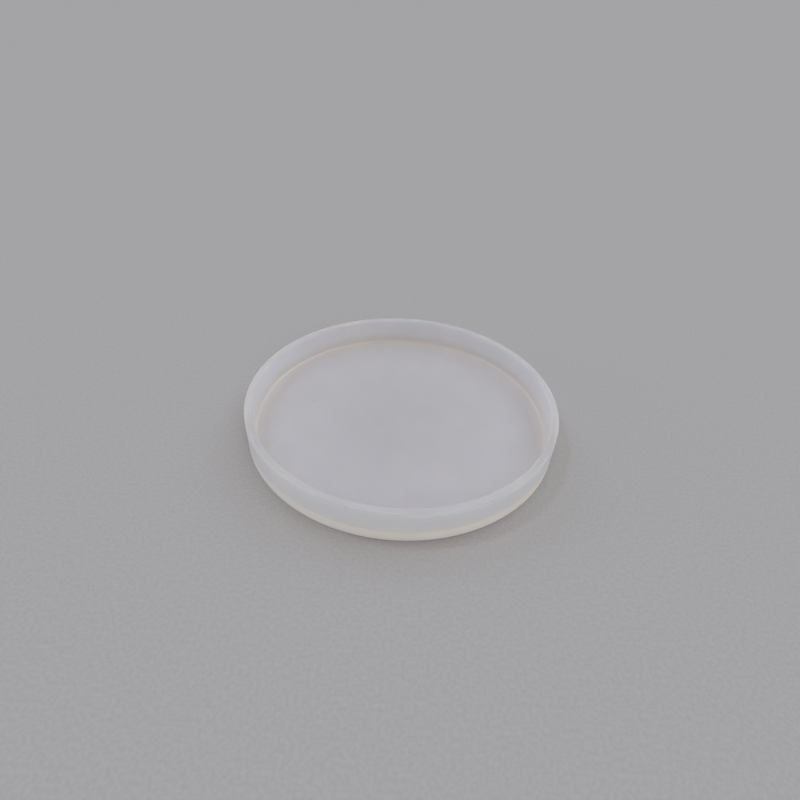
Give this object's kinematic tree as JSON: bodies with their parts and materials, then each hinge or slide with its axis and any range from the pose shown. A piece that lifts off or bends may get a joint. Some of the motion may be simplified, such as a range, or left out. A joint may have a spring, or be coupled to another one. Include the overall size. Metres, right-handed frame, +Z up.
{
  "type": "casting mould",
  "caption": "Round open casting mould in translucent silicone rubber: a thin flat floor inside a low upright wall with a flat rim.",
  "frame": {"origin": "centre of the flat underside, on the surface that the mould stands on", "axes": "+Z up along the mould's round axis, out of the open cavity; X and Y are any two level directions, because the mould is round"},
  "size_m": [0.1, 0.1, 0.0104],
  "materials": {
    "silicone": "satin"
  },
  "bodies": {
    "root": {"mould_body": "silicone"}
  },
  "joints": []
}
